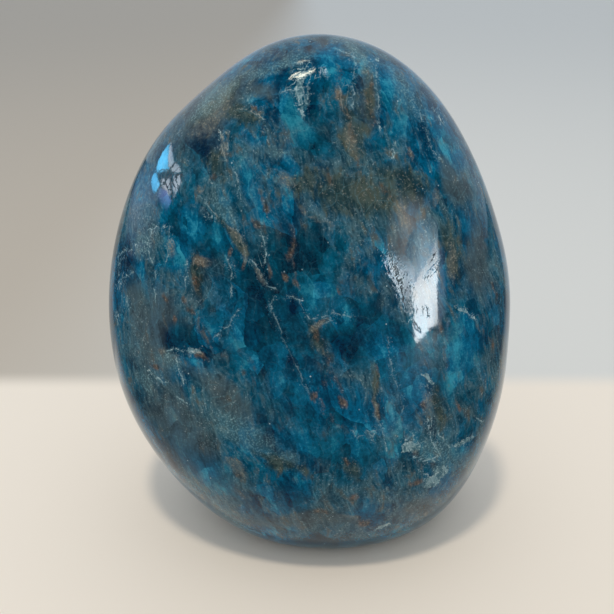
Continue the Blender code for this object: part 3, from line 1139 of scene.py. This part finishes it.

    # Painted glints, tiny bright specks of reflected light in the base colour, then pits and fine cracks
    glint_cells = recipe.node("TexVoronoi", {}, {"Vector": place, "Scale": 1.0 / 1.6})
    chance, power, _ = recipe.parts(Value(recipe, glint_cells.outputs["Color"]))
    glint = recipe.step(chance, 0.88, 0.94) * (0.2 + 0.8 * power)
    glint = glint * (1.0 - recipe.step(Value(recipe, glint_cells.outputs["Distance"]), 0.03, 0.13))
    colour = recipe.mix(glint * 0.80, colour, GLINT)
    pit = recipe.mark("pit")
    # Painted shade: each pit is darkened the more, the deeper it is.
    colour = recipe.mix(pit * 0.6, colour, PIT_SHADE)
    crack = near(recipe, "crack", (crumb - 0.5) * 0.9 + (bead - 0.5) * 0.6, 0.05, 0.15)
    colour = recipe.mix(crack * 0.8, colour, CRACK)

    # Pinholes in the polish, crowded where the stone is softer
    slanted = recipe.vector("MULTIPLY", recipe.turned(place, PINHOLE_SLANT), (1.0, 1.0, 0.26))
    worn = recipe.step(recipe.mark("pinholes") + spot * 0.6 + crumb * 0.5, 0.72, 1.05)
    pinhole = (1.0 - recipe.step(recipe.cells(slanted, 0.34), 0.10, 0.36)) * worn
    colour = recipe.mix(pinhole * 0.5, colour, PINHOLE)

    # The shader's own sockets, with a slight relief in the polish
    recipe.paint("Base Color", colour)
    rough = 0.12 * rust + 0.14 * pale + 0.3 * pit + 0.5 * pinhole + 0.6 * crack
    recipe.paint("Roughness", settings.polish + rough)
    height = crumb * 0.12 + blotch * 0.2 + stripe * (0.14 + worn * 0.5)
    height = height - core * 0.4 - brown_line * 0.25 - pinhole * 0.6
    bump = recipe.node("Bump", {}, {"Strength": 0.5, "Distance": 0.05 * MM, "Height": height})
    recipe.paint("Normal", Value(recipe, bump.outputs["Normal"]))
    recipe.paint("IOR", APATITE_IOR)
    return material


class APATITE_OT_stone(bpy.types.Operator):
    """Makes the stone and its finish"""

    bl_idname = "apatite.stone"
    bl_label = "Make the stone"

    def execute(self, context):
        settings = context.scene.apatite_stone
        mesh, ways = fine_ball(settings.net)
        places = STONE_MIDDLE + ways * surface_distance(ways)[:, None]
        mesh.vertices.foreach_set("co", (places * MM).ravel())
        mesh.update()
        normals = np.array([vertex.vector for vertex in mesh.vertex_normals])
        looks = paint_marks(mesh, places, normals)
        places = wear_surface(mesh, places, normals, settings, looks) * MM
        low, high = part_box(NODE)
        places = np.clip(places, (low.x, low.y, -np.inf), high)
        mesh.vertices.foreach_set("co", places.ravel())
        cut_foot(mesh)
        mesh.shade_smooth()
        mesh.set_sharp_from_angle(angle=SHARP_TURN)
        mesh.materials.append(polished_apatite(settings))
        stone = bpy.data.objects.new("polished_stone", mesh)
        context.scene.collection.objects.link(stone)
        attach(stone, BODY)
        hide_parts(NODE)
        return {"FINISHED"}


def outside(places):
    """How far in mm places lie beyond the smooth surface, along the way from the stone's middle."""
    ways = places - STONE_MIDDLE
    reaches = np.linalg.norm(ways, axis=1)
    return reaches - surface_distance(ways / reaches[:, None])


def mirrored(pixel, distance):
    """The place in metres, at a distance in mm, that the smooth stone mirrors at a pixel."""
    across = (pixel[0] - FRAME_PIXELS / 2.0) / FOCAL_PIXELS
    down = (pixel[1] - FRAME_PIXELS / 2.0) / FOCAL_PIXELS
    ray = AHEAD - UP * down
    ray[0] = across
    ray /= np.linalg.norm(ray)
    along = np.array(CAMERA_PLACE) + ray * np.linspace(*RAY_REACH, RAY_STEPS)[:, None]
    touch = along[np.argmax(outside(along) < 0.0)]
    nudges = np.vstack((np.eye(3), -np.eye(3))) * NUDGE
    slopes = outside(touch + nudges)
    normal = slopes[:3] - slopes[3:]
    normal /= np.linalg.norm(normal)
    return Vector((touch + (ray - 2.0 * ray.dot(normal) * normal) * distance) * MM)


def bright_pane(name, colour, strength, middle_glow, outline, distance):
    """A bright pane that only the polish shows, cut so that its image has an outline in pixels."""
    body = bmesh.new()
    glow = body.verts.layers.float.new("glow")
    corners = []
    for across, down, brightness in outline:
        corner = body.verts.new(mirrored((across, down), distance))
        corner[glow] = brightness
        corners.append(corner)
    middle = body.verts.new(sum((corner.co for corner in corners), Vector()) / len(corners))
    middle[glow] = middle_glow
    for first, second in zip(corners, corners[1:] + corners[:1]):
        body.faces.new((middle, first, second))
    mesh = bpy.data.meshes.new(name)
    body.to_mesh(mesh)
    body.free()
    material = bpy.data.materials.new(name)
    recipe = Recipe(material, "Principled BSDF")
    recipe.paint("Base Color", (*BLACK, 1.0))
    recipe.paint("Specular IOR Level", 0.0)
    recipe.paint("Emission Color", recipe.mix(recipe.mark("glow"), BLACK, colour))
    recipe.paint("Emission Strength", strength)
    mesh.materials.append(material)
    pane = bpy.data.objects.new(name, mesh)
    pane.visible_camera = False
    pane.visible_diffuse = False
    pane.visible_shadow = False
    bpy.context.scene.collection.objects.link(pane)


class APATITE_OT_stage(bpy.types.Operator):
    """Makes the floor, the lights and the camera"""

    bl_idname = "apatite.stage"
    bl_label = "Make the stage"

    def execute(self, context):
        scene = context.scene
        settings = scene.apatite_stage
        self.make_floor(settings)
        self.make_lamp(scene, settings)
        self.make_surroundings(scene, settings)
        for order, (name, pane) in enumerate(HIGHLIGHTS.items()):
            bright_pane(name, *pane, NEAREST_PANE + PANE_GAP * order)
        self.make_camera(scene)
        scene.view_settings.view_transform = "Standard"
        return {"FINISHED"}

    def make_floor(self, settings):
        bpy.ops.mesh.primitive_plane_add(size=FLOOR_WIDTH, location=(0.0, 0.0, -FLOOR_DROP))
        floor = bpy.context.object
        floor.name = "floor"
        material = bpy.data.materials.new("floor_paper")
        recipe = Recipe(material, "Principled BSDF")
        aside, behind, _ = recipe.axes(recipe.place())
        start = settings.backdrop_start
        far = recipe.step(behind, start - BACKDROP_BLEND, start + BACKDROP_BLEND)
        turn = recipe.step(aside, *BACKDROP_TURN)
        backdrop = recipe.mix(turn, settings.backdrop, settings.backdrop_right)
        colour = recipe.mix(far, settings.floor, backdrop)
        # Painted shade: for rays that the polish mirrors, the floor's colour falls to black in front of and
        # beside the stone.
        away = recipe.most(abs(aside) - SIDE_START, 0.0) * SIDE_SHARE - behind
        unlit = recipe.step(away, FLOOR_DIMS, FLOOR_DARK) * recipe.gloss()
        recipe.paint("Base Color", recipe.mix(unlit * UNLIT_SHARE, colour, BLACK))
        recipe.paint("Roughness", FLOOR_ROUGHNESS)
        floor.data.materials.append(material)

    def make_lamp(self, scene, settings):
        light = bpy.data.lights.new("overhead", "AREA")
        light.shape = "DISK"
        light.size = settings.lamp_width
        light.energy = settings.overhead
        light.color = LAMP_COLOUR
        lamp = bpy.data.objects.new("overhead", light)
        lamp.location = LAMP_PLACE
        lamp.rotation_euler = (-Vector(LAMP_PLACE)).to_track_quat("-Z", "Y").to_euler()
        lamp.visible_camera = False
        lamp.visible_glossy = False
        scene.collection.objects.link(lamp)

    def make_surroundings(self, scene, settings):
        """Even soft light, with darkness behind the camera for the polish to mirror."""
        scene.world = bpy.data.worlds.new("soft light")
        recipe = Recipe(scene.world, "Background")
        _, back, _ = recipe.axes(recipe.place("Generated"))
        gloss = recipe.gloss()
        dark = recipe.step(-1.0 * back, *DARK_TURN) * gloss
        recipe.paint("Color", AMBIENT_COLOUR)
        strength = settings.ambient * (1.0 - DARK_SHARE * dark)
        recipe.paint("Strength", strength * (1.0 - GLOSS_LOSS * gloss))

    def make_camera(self, scene):
        camera = bpy.data.cameras.new("camera")
        camera.lens = FOCAL_PIXELS / FRAME_PIXELS * camera.sensor_width
        camera.clip_start = CLIP_START
        viewer = bpy.data.objects.new("camera", camera)
        viewer.location = Vector(CAMERA_PLACE) * MM
        viewer.rotation_euler = (pi / 2.0 - CAMERA_PITCH, 0.0, 0.0)
        scene.collection.objects.link(viewer)
        scene.camera = viewer


class APATITE_PT_panel(bpy.types.Panel):
    """Lists what the add-on makes"""

    bl_idname = "APATITE_PT_panel"
    bl_label = "Blue apatite freeform"
    bl_space_type = "VIEW_3D"
    bl_region_type = "UI"
    bl_category = "Apatite"

    def draw(self, context):
        for title, settings, operator in (
            ("Stone", context.scene.apatite_stone, APATITE_OT_stone),
            ("Stage", context.scene.apatite_stage, APATITE_OT_stage),
        ):
            box = self.layout.box()
            box.label(text=title)
            for name in settings.__annotations__:
                box.prop(settings, name)
            box.operator(operator.bl_idname)


CLASSES = (StoneSettings, StageSettings, APATITE_OT_stone, APATITE_OT_stage, APATITE_PT_panel)


def register():
    for part in CLASSES:
        bpy.utils.register_class(part)
    bpy.types.Scene.apatite_stone = bpy.props.PointerProperty(type=StoneSettings)
    bpy.types.Scene.apatite_stage = bpy.props.PointerProperty(type=StageSettings)


def unregister():
    del bpy.types.Scene.apatite_stage
    del bpy.types.Scene.apatite_stone
    for part in reversed(CLASSES):
        bpy.utils.unregister_class(part)


def main():
    register()
    bpy.ops.apatite.stone()
    bpy.ops.apatite.stage()


if __name__ == "__main__":
    main()
